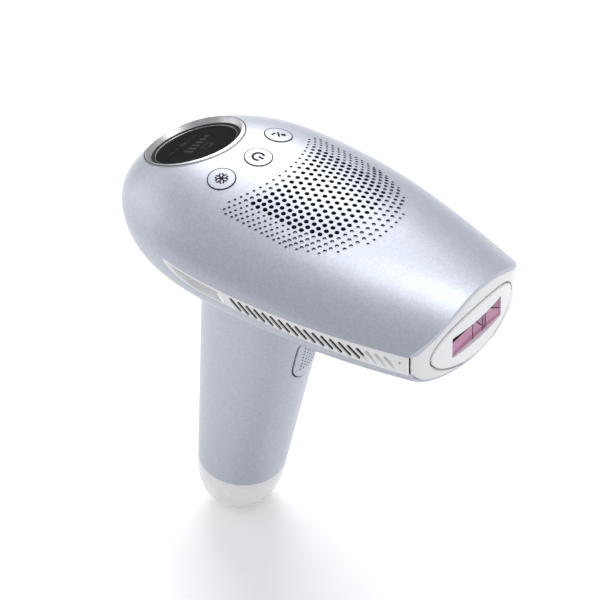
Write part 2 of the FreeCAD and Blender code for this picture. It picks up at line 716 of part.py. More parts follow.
def cap_core(inset_top, inset_bottom, x0, x1):
    upper, lower = cap_profile(inset_top, inset_bottom)
    edges = [smooth_curve(upper), smooth_curve(lower),
             Part.makeLine(upper[0], lower[0]), Part.makeLine(upper[-1], lower[-1])]
    core = Part.Face(Part.Wire(Part.__sortEdges__(edges))).extrude(V(x1 - x0, 0, 0))
    core.translate(V(x0, 0, 0))
    return core


def lamp_cap(outer_hull):
    """White nose of the cartridge, flush with the side strips and tucked under the shell's lip."""
    core = cap_core(LIP + GAP, BAND + GAP, 151.0, BLOCK_END)
    behind_lip = closed_block(hull_net(BAND + GAP)).fuse(closed_block(crown_net(LIP + GAP)))
    behind_lip = behind_lip.common(box(NOSE_SEAM, BLOCK_END, -60, 60, -60, 40))
    core = core.common(behind_lip.fuse(box(152, BLOCK_END, -31, 31, -30, 20)))
    cheeks = outer_hull.common(strip_outline(BLOCK_END, GAP, GAP))
    cheeks = cheeks.cut([box(100, 180, -30, 30, -40, 20), box(0, NOSE_SEAM + GAP, -60, 60, -40, 20)])
    body = core.fuse(cheeks).common(plan_front(0.0, 1.0))
    groove = plate_oval(PLATE_GROOVE, 140, 180).cut(plan_front(-PLATE_GROOVE))
    return biggest(body.cut([plate_oval(0.35, 140, 170), groove]))


def plate_oval(grow, x0, x1):
    return oval(PLATE_HALF_WIDTH + grow, PLATE_HALF_HEIGHT + grow, x0, x1)


def contact_plate():
    """Cooled oval plate round the window; the glass sits in its rear pocket."""
    plate = plate_oval(0, PLATE_BACK, 170).common(plan_front(0.3))
    rim = [e for e in plate.Edges if e.BoundBox.XMin > PLATE_BACK + 1 and e.BoundBox.YLength > 10]
    plate = plate.makeFillet(PLATE_EDGE, rim)
    opening = window_block(WINDOW_WIDTH, WINDOW_HEIGHT, 150, 170)
    opening = opening.makeFillet(0.8, [e for e in opening.Edges if e.BoundBox.XLength > 15])
    pocket = window_block(WINDOW_WIDTH + 3.6, WINDOW_HEIGHT + 3.4, 150, GLASS_FRONT)
    return plate.cut(opening.fuse(pocket))


def filter_glass():
    return window_block(WINDOW_WIDTH + 3.4, WINDOW_HEIGHT + 3.2, GLASS_FRONT - GLASS_THICK, GLASS_FRONT)


def reflector():
    """Polished trough behind the glass, with end walls that the lamp passes through."""
    mouth = GLASS_FRONT - GLASS_THICK - 0.2
    half = WINDOW_HEIGHT / 2 + 0.4
    steps = 12
    outline = []
    for i in range(steps + 1):
        up = half * (2.0 * i / steps - 1)
        outline.append(V(mouth - (mouth - BOWL_BACK) * (1 - (up / half) ** 2), 0, WINDOW_Z + up))
    bowl = Part.Face(Part.Wire([smooth_curve(outline), Part.makeLine(outline[-1], outline[0])]))
    inner = bowl.extrude(V(0, WINDOW_WIDTH + 1, 0))
    inner.translate(V(0, -(WINDOW_WIDTH + 1) / 2, 0))
    outer = window_block(WINDOW_WIDTH + 2.2, WINDOW_HEIGHT + 1.9, BOWL_BACK - 1.0, mouth)
    lamp_hole = rod(LAMP_RADIUS + 0.15, V(LAMP_X, -30, WINDOW_Z), Y_AXIS, 60)
    return biggest(outer.cut(inner).cut(lamp_hole))


def flash_lamp():
    glass = rod(LAMP_RADIUS, V(LAMP_X, -20, WINDOW_Z), Y_AXIS, 40)
    glass = glass.cut(rod(LAMP_RADIUS - 0.6, V(LAMP_X, -20, WINDOW_Z), Y_AXIS, 40))
    ends = []
    for side in (-1, 1):
        stub = rod(LAMP_RADIUS - 0.6, V(LAMP_X, side * 16.5, WINDOW_Z), Y_AXIS * side, 3.5)
        cap = rod(LAMP_RADIUS + 0.1, V(LAMP_X, side * 20, WINDOW_Z), Y_AXIS * side, 2.4)
        ends.append(stub.fuse(cap))
    return glass, ends


def lamp_holders():
    """Ceramic blocks that grip the lamp's end caps."""
    blocks = []
    for side in (-1, 1):
        low, high = sorted((side * 18.2, side * 22.4))
        block = box(LAMP_X - 3.3, LAMP_X + 3.3, low, high, WINDOW_Z - 3.0, WINDOW_Z + 3.0)
        hole = rod(LAMP_RADIUS + 0.1, V(LAMP_X, side * 18, WINDOW_Z), Y_AXIS * side, 4.4)
        blocks.append(block.cut(hole))
    return blocks


def contact_blades(grow=0.0):
    blades = []
    for side in (-1, 1):
        low, high = sorted((side * (19.8 - grow), side * (22.2 + grow)))
        blades.append(box(120.5 - grow, 132.0, low, high, WINDOW_Z - 0.4 - grow, WINDOW_Z + 0.4 + grow))
    return blades


def cartridge_housing():
    """Oval shell that carries lamp and reflector and plugs into the head."""
    rear = CARTRIDGE_REAR
    shell = oval(CARTRIDGE_HALF_WIDTH, CARTRIDGE_HALF_HEIGHT, rear, PLATE_BACK - 0.1)
    hollow = oval(CARTRIDGE_HALF_WIDTH - 1.3, CARTRIDGE_HALF_HEIGHT - 1.3, rear + 1.5, 170)
    flange = plate_oval(0.35, PLATE_BACK - 1.3, PLATE_BACK - 0.1)
    shell = shell.cut(hollow).fuse(flange.cut(hollow))
    shelf_low = box(rear + 1, 145.0, -20, 20, WINDOW_Z - 7.4, WINDOW_Z - 6.0)
    rib = box(rear + 1, 144.5, -0.8, 0.8, WINDOW_Z - 9.2, WINDOW_Z - 6.0)
    return biggest(shell.fuse(shelf_low.fuse(rib).common(oval(25, 9.6, 120, 160))).cut(contact_blades()))


# ---------------------------------------------------------------- cooling
def heatsink():
    base = box(66, 116, -19, 19, -10, -7.5)
    front = box(116, 119, -18, 18, -18, -1)
    fins = [box(x, x + 1.0, -19, 19, -7.6, 2.4) for x in [68 + 4 * i for i in range(12)]]
    return base.multiFuse([front] + fins)


def fan_frame():
    frame = box(65, 115, -25, 25, FAN_Z, FAN_Z + 10)
    frame = frame.makeFillet(3, [e for e in frame.Edges if e.BoundBox.ZLength > 9])
    frame = frame.cut(rod(23.2, V(VENT_CENTRE, 0, FAN_Z - 1), Z_AXIS, 12))
    hub = rod(11.0, V(VENT_CENTRE, 0, FAN_Z), Z_AXIS, 1.4)
    struts = [box(VENT_CENTRE - 24, VENT_CENTRE - 9, -1.2, 1.2, FAN_Z, FAN_Z + 1.4) for _ in range(3)]
    for i, strut in enumerate(struts):
        strut.rotate(V(VENT_CENTRE, 0, 0), Z_AXIS, 45 + 120 * i)
    sleeve = rod(3.0, V(VENT_CENTRE, 0, FAN_Z + 1), Z_AXIS, 6)
    frame = frame.multiFuse([hub, sleeve] + struts)
    holes = [rod(1.5, V(x, y, FAN_Z - 1), Z_AXIS, 12) for x, y in fan_corners()]
    return biggest(frame.cut(holes + [rod(1.05, V(VENT_CENTRE, 0, FAN_Z - 1), Z_AXIS, 12)]))


def fan_corners():
    return [(VENT_CENTRE + sx * 21.5, sy * 21.5) for sx in (-1, 1) for sy in (-1, 1)]


def fan_rotor():
    base = FAN_Z + 2.2
    hub = rod(11.4, V(VENT_CENTRE, 0, base), Z_AXIS, 7.2)
    hub = hub.makeFillet(1.0, [e for e in hub.Edges if e.BoundBox.ZMin > base + 7 and len(e.Vertexes) == 1])
    hub = hub.cut(rod(10.0, V(VENT_CENTRE, 0, base - 1), Z_AXIS, 6.8))
    shaft = rod(1.0, V(VENT_CENTRE, 0, FAN_Z + 0.4), Z_AXIS, 8)
    ring = tube(22.5, 11.0, V(VENT_CENTRE, 0, base), Z_AXIS, 7)
    blades = []
    for i in range(9):
        blade = box(10, 24, -5.0, 5.0, -0.55, 0.55)
        blade.rotate(V(0, 0, 0), X_AXIS, 38)
        blade.rotate(V(0, 0, 0), Z_AXIS, 40 * i)
        blade.translate(V(VENT_CENTRE, 0, base + 3.5))
        blades.append(blade.common(ring))
    return biggest(hub.multiFuse([shaft] + blades))


def screws_at(places, start_z, length, radius, head_radius, down=1):
    """Vertical pan-head screws; down=1 puts the head on top."""
    group = []
    for x, y in places:
        head = rod(head_radius, V(x, y, start_z), V(0, 0, down), 1.2)
        cross = box(x - 1.2, x + 1.2, y - 0.3, y + 0.3, start_z - 5, start_z + 5).fuse(
            box(x - 0.3, x + 0.3, y - 1.2, y + 1.2, start_z - 5, start_z + 5))
        cut = cross.common(rod(head_radius, V(x, y, start_z + down * 0.6), V(0, 0, down), 1.0))
        group.append(head.cut(cut).fuse(rod(radius, V(x, y, start_z), V(0, 0, -down), length)))
    return group


# ---------------------------------------------------------------- inner structure
def chassis():
    """Inner frame that everything in the head is fastened to."""
    plate = box(30, 128, -31, 31, -12, -10)
    rear_corners = [e for e in plate.Edges if e.BoundBox.ZLength > 1.9 and e.BoundBox.XMax < 31]
    plate = plate.makeFillet(12, rear_corners)
    plate = plate.cut(box(115.5, 140, -24.7, 24.7, -14, -8))
    posts = [rod(2.2, V(x, y, -10), Z_AXIS, FAN_Z + 10) for x, y in fan_corners()]
    posts += [rod(1.8, V(x, y, -10), Z_AXIS, KEYPAD_Z + 10) for x, y in keypad_posts()]
    posts += [rod(2.2, V(x, y, -14), Z_AXIS, 3) for x, y in board_posts()]
    arms = []
    for x in SIDE_SCREWS:
        for side in (-1, 1):
            z = seam(x) - SCREW_DROP
            outer = half_width(x) - WALL - 2.2
            low, high = sorted((side * 27.0, side * 31.0))
            arms.append(box(x - 2.6, x + 2.6, low, high, -10.5, z + 2.2))
            low, high = sorted((side * 30.0, side * outer))
            arms.append(box(x - 2.2, x + 2.2, low, high, z - 2.2, z + 2.2))
    body = plate.multiFuse(posts + arms)
    holes = [rod(0.95, V(x, y, FAN_Z - 9), Z_AXIS, 20) for x, y in fan_corners()]
    holes += [rod(1.3, V(x, y, -14), Z_AXIS, 8) for x, y in top_bosses()]
    holes += [rod(0.95, V(x, y, -14.5), Z_AXIS, 4) for x, y in board_posts()]
    for x in SIDE_SCREWS:
        holes += [rod(1.0, V(x, -60, seam(x) - SCREW_DROP), Y_AXIS, 120).cut(
            box(x - 3, x + 3, -34, 34, -20, 20))]
    return biggest(body.cut(holes + [rod(9, V(50, 0, -14), Z_AXIS, 8)]))


def keypad_posts():
    return [(47.0, -21.0), (47.0, 21.0), (62.0, -21.0), (62.0, 21.0)]


def board_posts():
    return [(46.0, -22.0), (46.0, 22.0), (106.0, -22.0), (106.0, 22.0)]


def top_bosses():
    return [(36.0, -26.0), (36.0, 26.0), (123.0, -28.0), (123.0, 28.0)]


def main_board():
    board = box(40, 112, -26, 26, -15.6, -14)
    holes = [rod(1.1, V(x, y, -17), Z_AXIS, 5) for x, y in board_posts()]
    return board.cut(holes)


def board_components():
    sizes = [(50, -12, 12, 9, 4.5), (50, 8, 9, 14, 3.0), (66, -14, 8, 14, 3.6), (64, 6, 15, 12, 2.0),
             (80, -10, 7, 20, 4.0), (82, 14, 9, 8, 3.2)]
    return [box(x, x + dx, y, y + dy, -15.6 - dz, -15.6) for x, y, dx, dy, dz in sizes]


def keypad():
    """Board under the three buttons, with a push switch under each."""
    board = box(44.5, 64.4, -24, 24, KEYPAD_Z, KEYPAD_Z + 1.6)
    switches = []
    for x, y in button_places().values():
        foot = button_foot(x, y)
        can = box(-3, 3, -3, 3, 0, 3.4)
        can.translate(V(foot.x, foot.y, KEYPAD_Z + 1.6))
        nub = rod(1.6, V(foot.x, foot.y, KEYPAD_Z + 5.0), Z_AXIS, foot.z - KEYPAD_Z - 5.0 - 0.3)
        switches.append(can.fuse(nub))
    return board, switches


def button_foot(x, y):
    """Where a pressed button's stem meets its switch."""
    return V(x, y, crown_at(x, y)) - crown_normal(x, y) * (8.2 + BUTTON_TRAVEL)


def button(x, y, proud_block):
    """Round key flush with the shell: face, retaining flange and stem."""
    top = V(x, y, crown_at(x, y))
    normal = crown_normal(x, y)
    face = rod(BUTTON_RADIUS, top - normal * 3.6, normal, 8).common(proud_block)
    flange = rod(BUTTON_RADIUS + 1.0, top - normal * 4.4, normal, 1.0)
    stem = rod(1.5, top - normal * 8.2, normal, 5.0)
    return biggest(face.multiFuse([flange, stem]))


def display_group(proud_block):
    centre, up = display_frame()
    ring = rod(BEZEL_RADIUS - 0.05, centre - up * 4.5, up, 20).common(proud_block)
    bowl = Part.makeCone(DISPLAY_RADIUS, BEZEL_RADIUS + 1.8, 6.0, centre, up)
    seat = rod(DISPLAY_RADIUS, centre - up * 1.6, up, 1.7)
    well = rod(DISPLAY_RADIUS - 2.0, centre - up * 6, up, 10)
    ring = biggest(ring.cut([bowl, seat, well]))
    glass = rod(DISPLAY_RADIUS - 0.05, centre - up * 1.6, up, 1.6)
    board = rod(DISPLAY_RADIUS - 2.2, centre - up * 4.2, up, 1.2)
    screen = Part.makeBox(22, 20, 1.4, V(-11, -10, -3.0))
    screen.rotate(V(0, 0, 0), Y_AXIS, DISPLAY_TILT)
    screen.translate(centre)
    return ring, glass, board, screen


def capacitor_group():
    start, end = 42.0, 96.0
    can = rod(14.5, on_handle(start), handle_axis, end - start)
    can = can.makeFillet(1.2, [e for e in can.Edges if len(e.Vertexes) == 1])
    tags = [rod(1.0, on_handle(start - 5, 0, y), handle_axis, 5.5) for y in (-5, 5)]
    clip = tube(16.4, 14.6, on_handle(66), handle_axis, 8)
    slit = to_handle(box(0, 30, -1.5, 1.5, -2, 10), on_handle(66))
    return can.multiFuse(tags), biggest(clip.cut(slit))


def inlet_wires():
    """Two wires from the inlet's tags, up behind the capacitor to the main board."""
    wires = []
    top_along = -(-15.6 - on_handle(0, -19.5).z) / -handle_axis.z
    for side in (-1, 1):
        y = 1.3 * side
        route = [on_handle(handle_length + 5.9, 2.2 * side, 0), on_handle(111, -9, y),
                 on_handle(97.5, -15.7, y), on_handle(44, -19.5, y), on_handle(top_along, -19.5, y)]
        pieces = [rod(0.7, a, b - a, (b - a).Length) for a, b in zip(route[:-1], route[1:])]
        pieces += [Part.makeSphere(0.7, corner) for corner in route[1:-1]]
        ceiling = box(0, 120, -10, 10, -15.6, 10)
        wires.append(biggest(all_of(pieces).cut(ceiling)))
    return wires


def sockets():
    blocks = []
    cuts = contact_blades(0.35)
    for side, cut in zip((-1, 1), cuts):
        low, high = sorted((side * 18.4, side * 24.6))
        blocks.append(box(117.6, 127.4, low, high, WINDOW_Z - 3.4, WINDOW_Z + 3.0).cut(cut))
    return blocks


# ---------------------------------------------------------------- the whole object
def keep(name, shape):
    parts[name] = shape


def build():
    outer_crown = closed_block(crown_net(0))
    inner_crown = closed_block(crown_net(WALL))
    proud_crown = closed_block(crown_net(-0.25))
    outer_hull = closed_block(hull_net(0))
    inner_hull = closed_block(hull_net(WALL))

    keep("top_shell", top_bosses_under(top_shell(outer_crown, inner_crown)))

    left, right = lower_shells(outer_hull, inner_hull)
    nose = cap_core(LIP, BAND, 151.5, BLOCK_END).common(box(151, BLOCK_END, -60, 60, -60, 40))
    keep("lower_shell_left", biggest(left.cut(nose)))
    keep("lower_shell_right", biggest(right.cut(nose)))

    strip, badge, screen, screws = side_parts(outer_hull, inner_hull)
    for name, shape in (("side_strip", strip), ("badge_plate", badge), ("slot_screen", screen)):
        keep(name + "_left", shape)
        keep(name + "_right", mirrored(shape))
    keep("side_screws", Part.makeCompound(screws + [mirrored(s) for s in screws]))

    ring, glass, board, screen = display_group(proud_crown)
    keep("display_bezel", ring)
    keep("display_window", glass)
    keep("display_board", board)
    keep("display_screen", screen)

    for name, (x, y) in button_places().items():
        keep(name + "_button", button(x, y, proud_crown))
    board, switches = keypad()
    keep("keypad_board", board)
    keep("keypad_switches", Part.makeCompound(switches))

    keep("trigger_button", trigger_button())
    spring, switch, plate = trigger_group()
    keep("trigger_spring", spring)
    keep("trigger_switch", switch)
    keep("trigger_bracket", plate)
    keep("handle_end_cap", end_cap())
    keep("power_inlet", power_inlet())
    keep("inlet_wires", Part.makeCompound(inlet_wires()))
    can, clip = capacitor_group()
    keep("capacitor", can)
    keep("capacitor_clip", clip)

    keep("chassis", chassis())
    keep("main_board", main_board())
    keep("board_components", Part.makeCompound(board_components()))
    keep("ignition_coil", box(92, 108, -8, 8, -21.5, -15.6))
    keep("chassis_screws", Part.makeCompound(
        screws_at(top_bosses(), -12, 14, 0.95, 2.2, -1)
        + screws_at(board_posts(), -15.6, 4.4, 0.9, 1.8, -1)
        + screws_at(fan_corners(), FAN_Z + 10, 16, 0.9, 1.9, 1)))
    keep("heatsink", heatsink())
    keep("fan_frame", fan_frame())
    keep("fan_rotor", fan_rotor())
    keep("cooling_module", box(119, 122.6, -15, 15, -17.5, -1.5))
    keep("cold_block", box(122.6, 127.6, -17, 17, -18, -1))
    keep("cartridge_sockets", Part.makeCompound(sockets()))

    keep("lamp_cap", lamp_cap(outer_hull))
    keep("contact_plate", contact_plate())
    keep("filter_glass", filter_glass())
    keep("reflector", reflector())
    glass, ends = flash_lamp()
    keep("flash_lamp", glass)
    keep("lamp_electrodes", Part.makeCompound(ends))
    keep("lamp_holders", Part.makeCompound(lamp_holders()))
    keep("cartridge_housing", cartridge_housing())
    keep("cartridge_contacts", Part.makeCompound(contact_blades()))


def main():
    build()
    os.makedirs("parts", exist_ok=True)
    for old in os.listdir("parts"):
        os.remove(os.path.join("parts", old))
    for name, shape in parts.items():
        moved = shape.copy()
        moved.translate(inlet_mouth * -1)
        solids = moved.Solids
        sound = all(s.isValid() and s.isClosed() for s in solids)
        print(name, len(solids), "sound" if sound else "BROKEN", round(moved.Volume / 1000, 2), "cm3")
        kept = solids[0] if len(solids) == 1 else Part.makeCompound(solids)
        kept.exportStep("parts/" + name + ".step")


if __name__ == "__main__":
    main()
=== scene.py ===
import json
import math

import bpy
from mathutils import Matrix, Vector
from mathutils.bvhtree import BVHTree


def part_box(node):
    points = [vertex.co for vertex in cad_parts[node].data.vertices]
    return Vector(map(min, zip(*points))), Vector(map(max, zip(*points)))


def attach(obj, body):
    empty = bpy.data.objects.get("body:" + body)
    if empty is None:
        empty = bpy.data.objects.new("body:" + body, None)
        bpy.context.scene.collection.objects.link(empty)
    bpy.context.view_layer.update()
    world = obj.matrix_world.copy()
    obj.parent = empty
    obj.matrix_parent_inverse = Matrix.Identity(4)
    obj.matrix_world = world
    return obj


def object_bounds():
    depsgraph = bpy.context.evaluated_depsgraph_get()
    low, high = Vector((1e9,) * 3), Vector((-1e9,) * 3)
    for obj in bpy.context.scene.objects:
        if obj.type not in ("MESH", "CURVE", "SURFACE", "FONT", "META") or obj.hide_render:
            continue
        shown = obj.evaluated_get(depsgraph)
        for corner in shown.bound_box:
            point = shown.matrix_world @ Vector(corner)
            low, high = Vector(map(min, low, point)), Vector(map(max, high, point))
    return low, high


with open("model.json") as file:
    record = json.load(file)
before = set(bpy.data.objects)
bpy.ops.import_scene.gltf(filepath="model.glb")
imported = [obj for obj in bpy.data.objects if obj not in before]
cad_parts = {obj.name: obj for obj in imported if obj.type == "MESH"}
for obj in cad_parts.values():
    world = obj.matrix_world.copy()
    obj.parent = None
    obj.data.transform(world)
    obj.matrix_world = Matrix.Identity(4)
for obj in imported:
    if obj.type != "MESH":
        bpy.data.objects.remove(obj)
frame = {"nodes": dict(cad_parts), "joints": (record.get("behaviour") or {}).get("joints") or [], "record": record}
cad_box = [list(corner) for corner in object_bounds()]


# ---------------------------------------------------------------- material helpers
class Nodes:
    """A new material and the shorthand that wires its nodes."""

    def __init__(self, name):
        self.material = bpy.data.materials.new(name)
        self.material.use_nodes = True
        self.tree = self.material.node_tree
        self.shader = self.tree.nodes["Principled BSDF"]

    def add(self, kind, **inputs):
        node = self.tree.nodes.new(kind)
        for key, value in inputs.items():
            node.inputs[key.replace("_", " ")].default_value = value
        return node

    def link(self, out, into):
        self.tree.links.new(out, into)

    def set(self, **inputs):
        for key, value in inputs.items():
            self.shader.inputs[key.replace("_", " ")].default_value = value

    def place(self):
        return self.add("ShaderNodeTexCoord").outputs["Object"]

    def noise(self, scale, detail=2.0, rough=0.5, where=None):
        node = self.add("ShaderNodeTexNoise", Scale=scale, Detail=detail, Roughness=rough)
        self.link(where or self.place(), node.inputs["Vector"])
        return node.outputs["Fac"]

    def cells(self, scale, where=None):
        node = self.add("ShaderNodeTexVoronoi", Scale=scale)
        self.link(where or self.place(), node.inputs["Vector"])
        return node

    def ramp(self, factor, stops):
        node = self.add("ShaderNodeValToRGB")
        elements = node.color_ramp.elements
        while len(elements) < len(stops):
            elements.new(0.5)
        for element, (at, colour) in zip(elements, stops):
            element.position = at
            element.color = (*colour, 1)
        self.link(factor, node.inputs["Fac"])
        return node.outputs["Color"]

    def span(self, factor, low, high):
        node = self.add("ShaderNodeMapRange")
        node.inputs["To Min"].default_value = low
        node.inputs["To Max"].default_value = high
        self.link(factor, node.inputs["Value"])
        return node.outputs["Result"]

    def bump(self, height, distance, strength=1.0):
        node = self.add("ShaderNodeBump", Strength=strength, Distance=distance)
        self.link(height, node.inputs["Height"])
        self.link(node.outputs["Normal"], self.shader.inputs["Normal"])


def plastic(name, dark, light, rough, grain=2600.0, relief=0.00002, coat=0.0, **more):
    """Moulded plastic: slight mottling, fine grain and uneven gloss."""
    m = Nodes(name)
    m.link(m.ramp(m.noise(60, 3), [(0.3, dark), (0.7, light)]), m.shader.inputs["Base Color"])
    m.link(m.span(m.noise(240, 2), rough * 0.85, rough * 1.15), m.shader.inputs["Roughness"])
    m.bump(m.noise(grain, 2), relief)
    m.set(Coat_Weight=coat, **more)
    return m.material


def metal(name, dark, light, rough, scale=300.0, **more):
    """Worked metal with faint colour variation and uneven polish."""
    m = Nodes(name)
    m.link(m.ramp(m.noise(scale, 3), [(0.3, dark), (0.7, light)]), m.shader.inputs["Base Color"])
    m.link(m.span(m.noise(scale * 3, 2), rough * 0.7, rough * 1.3), m.shader.inputs["Roughness"])
    m.bump(m.noise(scale * 8, 2), 0.00001)
    m.set(Metallic=1.0, **more)
    return m.material


def metallic_paint():
    """Satin silver-lilac paint with fine flake."""
    m = Nodes("shell_paint")
    flake = m.cells(1700)
    m.link(m.ramp(flake.outputs["Color"], [(0.1, (0.405, 0.427, 0.477)), (0.9, (0.465, 0.49, 0.55))]),
           m.shader.inputs["Base Color"])
    m.link(m.span(m.noise(180, 2), 0.36, 0.42), m.shader.inputs["Roughness"])
    m.bump(m.noise(1800, 3), 0.00006, 0.4)
    m.set(Metallic=0.6, Coat_Weight=0.2, Coat_Roughness=0.3)
    return m.material


def display_glass():
    m = Nodes("display_glass")
    m.link(m.ramp(m.noise(40, 2), [(0.3, (0.010, 0.010, 0.011)), (0.7, (0.014, 0.014, 0.015))]),
           m.shader.inputs["Base Color"])
    m.link(m.span(m.noise(90, 2), 0.12, 0.18), m.shader.inputs["Roughness"])
    m.set(Specular_IOR_Level=0.04, IOR=1.15)
    return m.material


def tinted_glass(name, tint, rough, alpha):
    m = Nodes(name)
    m.link(m.ramp(m.noise(120, 2), [(0.2, tint), (0.8, [c * 0.93 for c in tint])]),
           m.shader.inputs["Base Color"])
    m.link(m.span(m.noise(200, 2), rough * 0.8, rough * 1.2), m.shader.inputs["Roughness"])
    m.set(Transmission_Weight=alpha, IOR=1.46)
    return m.material


def circuit_board():
    m = Nodes("circuit_board")
    traces = m.cells(420)
    m.link(m.ramp(traces.outputs["Distance"], [(0.05, (0.10, 0.30, 0.12)), (0.4, (0.02, 0.12, 0.05))]),
           m.shader.inputs["Base Color"])
    m.link(m.span(m.noise(300, 2), 0.3, 0.45), m.shader.inputs["Roughness"])
    m.bump(traces.outputs["Distance"], 0.00003)
    return m.material


FINISHES = {
    "shell_paint": metallic_paint(),
    "white_plastic": plastic("white_plastic", (0.69, 0.69, 0.69), (0.75, 0.75, 0.75), 0.26, coat=0.35),
    "badge_metal": metal("badge_metal", (0.40, 0.40, 0.41), (0.48, 0.48, 0.49), 0.38),
    "bezel_chrome": metal("bezel_chrome", (0.40, 0.40, 0.41), (0.50, 0.50, 0.51), 0.36),
    "display_glass": display_glass(),
    "circuit_board": circuit_board(),
    "black_plastic": plastic("black_plastic", (0.008, 0.008, 0.009), (0.014, 0.014, 0.015), 0.6,
                             Specular_IOR_Level=0.15),
    "inner_plastic": plastic("inner_plastic", (0.16, 0.16, 0.17), (0.20, 0.20, 0.21), 0.5),
    "screw_steel": metal("screw_steel", (0.45, 0.45, 0.46), (0.55, 0.55, 0.56), 0.25),
    "spring_steel": metal("spring_steel", (0.38, 0.38, 0.40), (0.50, 0.50, 0.52), 0.3),
    "wire_insulation": plastic("wire_insulation", (0.35, 0.02, 0.02), (0.45, 0.03, 0.03), 0.4),
    "capacitor_sleeve": plastic("capacitor_sleeve", (0.02, 0.03, 0.06), (0.03, 0.04, 0.08), 0.35),
    "coil_epoxy": plastic("coil_epoxy", (0.05, 0.02, 0.01), (0.10, 0.04, 0.02), 0.3),
    "heatsink_aluminium": metal("heatsink_aluminium", (0.55, 0.56, 0.57), (0.65, 0.66, 0.67), 0.35),
    "ceramic": plastic("ceramic", (0.78, 0.77, 0.74), (0.84, 0.83, 0.80), 0.4),
    "window_plate": plastic("window_plate", (0.74, 0.74, 0.745), (0.80, 0.80, 0.805), 0.22, coat=0.4),
    "filter_glass": tinted_glass("filter_glass", (0.60, 0.24, 0.42), 0.10, 0.22),
    "reflector_metal": metal("reflector_metal", (0.85, 0.82, 0.84), (0.92, 0.90, 0.91), 0.12),
    "lamp_glass": tinted_glass("lamp_glass", (0.9, 0.9, 0.92), 0.04, 0.9),
    # Dark finish that paints shade in the groove round the contact plate.
    "groove_shade_grey": plastic("groove_shade_grey", (0.05, 0.05, 0.055), (0.08, 0.08, 0.085), 0.6,
                         Specular_IOR_Level=0.2),
    # Dark finish that paints shade on the walls inside the vent holes and dimples.
    "hole_shade_grey": plastic("hole_shade_grey", (0.022, 0.024, 0.028), (0.035, 0.038, 0.044), 0.7,
                          Specular_IOR_Level=0.1),
    # Black print ink of the key symbols; the same finish also paints shade in the key gaps, the display gap and
    # the nose seams.
    "ink_and_painted_shade": plastic("ink_and_painted_shade", (0.010, 0.010, 0.012), (0.018, 0.018, 0.020), 0.6,
                          Specular_IOR_Level=0.1),
    "display_marks": plastic("display_marks", (0.022, 0.022, 0.024), (0.030, 0.030, 0.033), 0.4,
                             Specular_IOR_Level=0.04),
    "edge_grey": metal("edge_grey", (0.20, 0.20, 0.21), (0.28, 0.28, 0.29), 0.25),
    # Dark finish that paints shade along the edge and crest of the polished display ring.
    "edge_shade_grey": plastic("edge_shade_grey", (0.07, 0.07, 0.075), (0.10, 0.10, 0.105), 0.6, Specular_IOR_Level=0.05),
    # Bright metal that paints the highlight on the front bevel of the badge plates.
    "bevel_glint_metal": metal("bevel_glint_metal", (0.88, 0.88, 0.88), (0.93, 0.93, 0.93), 0.25),
    # Near-black finish that paints the shadow along the top of the tinted window.
    "painted_shadow_plum": plastic("painted_shadow_plum", (0.012, 0.003, 0.008), (0.02, 0.005, 0.013), 0.7,
                          Specular_IOR_Level=0.05),
    # Darker rose that paints shade on some facets behind the tinted window.
    "facet_shade_rose": plastic("facet_shade_rose", (0.30, 0.10, 0.20), (0.35, 0.13, 0.24), 0.15),
    "joint_plum": plastic("joint_plum", (0.04, 0.01, 0.025), (0.06, 0.012, 0.035), 0.5,
                          Specular_IOR_Level=0.2),
    "contact_brass": metal("contact_brass", (0.70, 0.52, 0.22), (0.80, 0.62, 0.30), 0.3),
}


for part in frame["record"]["subparts"]:
    piece = frame["nodes"][part["node"]]
    piece.data.materials.clear()
    piece.data.materials.append(FINISHES[part["material_slot"]])


# ---------------------------------------------------------------- small raised details
MM = 0.001
STEP = 0.4 * MM                 # longest piece of a stroke between two drops on the skin
DROP_HEIGHT = 0.03              # how far above a place the drop onto the skin starts


class Skin:
    """A CAD node's surface, to lay fine details on."""

    def __init__(self, node):
        mesh = frame["nodes"][node].data
        points = [v.co.copy() for v in mesh.vertices]
        self.tree = BVHTree.FromPolygons(points, [f.vertices[:] for f in mesh.polygons])

    def drop(self, point, direction):
        """Where a ray along the direction meets the skin, and the outward normal there."""
        place, normal, _, _ = self.tree.ray_cast(point - direction * DROP_HEIGHT, direction)
        if place is None:
            place, normal, _, _ = self.tree.find_nearest(point)
        return place, (normal if normal.dot(direction) < 0 else -normal)


def spread(path, step):
    """The path with more points, none further from the next than the step."""
    points = [path[0]]
    for a, b in zip(path[:-1], path[1:]):
        count = max(1, math.ceil((b - a).length / step))
        points += [a.lerp(b, i / count) for i in range(1, count + 1)]
    return points


def ribbons(name, skin, direction, paths, width, lift, sink, body, material):
    """Flat strokes that follow a skin, each a bar lifted off it but kept inside the CAD box."""
    verts = []
    faces = []
    for path in paths:
        path = spread(path, STEP)
        first = len(verts)
        for i, point in enumerate(path):
            ahead = path[min(i + 1, len(path) - 1)] - path[max(i - 1, 0)]
            across = direction.cross(ahead).normalized() * width / 2
            left, left_up = skin.drop(point - across, direction)
            right, right_up = skin.drop(point + across, direction)
            verts += [left - left_up * sink, right - right_up * sink,
                      right + right_up * lift, left + left_up * lift]
        for i in range(len(path) - 1):
            a = first + 4 * i
            faces += [(a + k, a + (k + 1) % 4, a + 4 + (k + 1) % 4, a + 4 + k) for k in range(4)]
        last = first + 4 * (len(path) - 1)
        faces += [(first + 3, first + 2, first + 1, first), (last, last + 1, last + 2, last + 3)]
    low, high = cad_box
    verts = [[min(max(v[k], low[k]), high[k]) for k in range(3)] for v in verts]
    return new_piece(name, verts, faces, body, material)


def new_piece(name, verts, faces, body, material):
    """Visual piece that rides on a body and takes a slot's finish."""
    mesh = bpy.data.meshes.new(name)
    mesh.from_pydata([tuple(v) for v in verts], [], faces)
    piece = bpy.data.objects.new(name, mesh)
    bpy.context.scene.collection.objects.link(piece)
    mesh.materials.append(material)
    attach(piece, body)
    return piece


